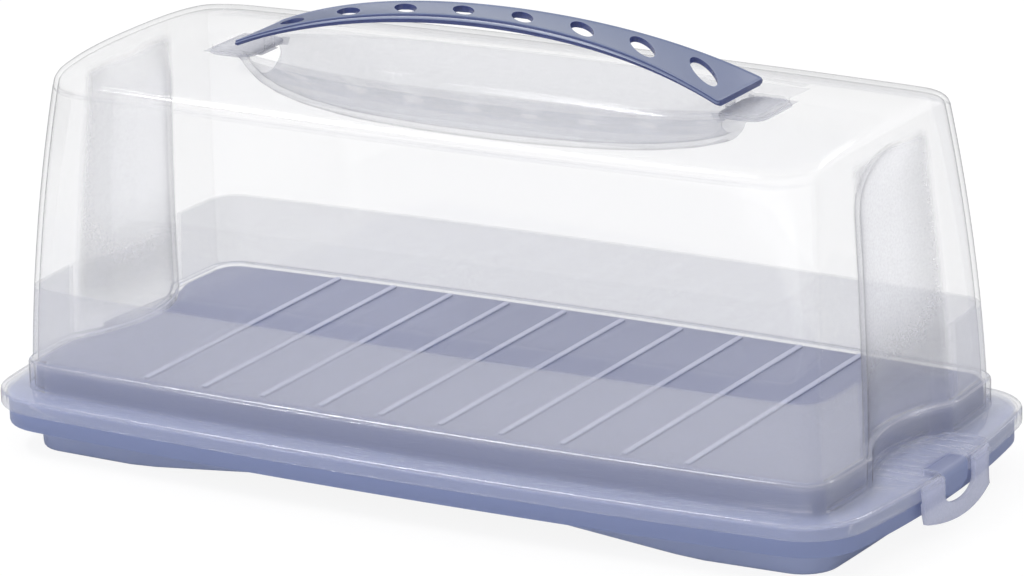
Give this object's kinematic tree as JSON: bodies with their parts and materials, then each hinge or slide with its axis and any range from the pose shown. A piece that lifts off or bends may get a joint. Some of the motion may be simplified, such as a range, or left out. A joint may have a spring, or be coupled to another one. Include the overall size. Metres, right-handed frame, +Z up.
{
  "type": "cake carrier",
  "caption": "Long cake carrier: ribbed blue tray, clear lift-off hood with end snap clips, finger well and arched flexible strap handle.",
  "frame": {"origin": "bottom centre of the carrier, where the tray's foot meets the table", "axes": "+X along the length, toward one clip; +Y across, away from the camera side; +Z up"},
  "size_m": [0.366, 0.17, 0.1648],
  "materials": {
    "clear_hood": "clear injection-moulded, polished",
    "clear_clip": "clear, slightly frosted, moulded with the hood",
    "blue_tray": "translucent grey-blue, satin",
    "blue_strap": "translucent grey-blue, satin"
  },
  "bodies": {
    "base": {"base_tray": "blue_tray"},
    "hood": {"hood": "clear_hood"},
    "handle": {"carry_handle": "blue_strap"},
    "clip_left": {"latch_tab_left": "clear_clip"},
    "clip_right": {"latch_tab_right": "clear_clip"}
  },
  "joints": [
    {"name": "hood_lift", "type": "slide", "parent": "base", "child": "hood", "axis": [0, 0, 1], "range_m": [0, 0.16]},
    {"name": "handle_press", "type": "slide", "parent": "hood", "child": "handle", "axis": [0, 0, -1], "range_m": [0, 0.014], "stiffness_N_per_m": 400, "deforming": ["carry_handle"]},
    {"name": "clip_right_swing", "type": "hinge", "parent": "hood", "child": "clip_right", "pos_m": [0.18015, 0, 0.0224], "axis": [0, -1, 0], "range_deg": [0, 70]},
    {"name": "clip_left_swing", "type": "hinge", "parent": "hood", "child": "clip_left", "pos_m": [-0.18015, 0, 0.0224], "axis": [0, 1, 0], "range_deg": [0, 70]}
  ]
}
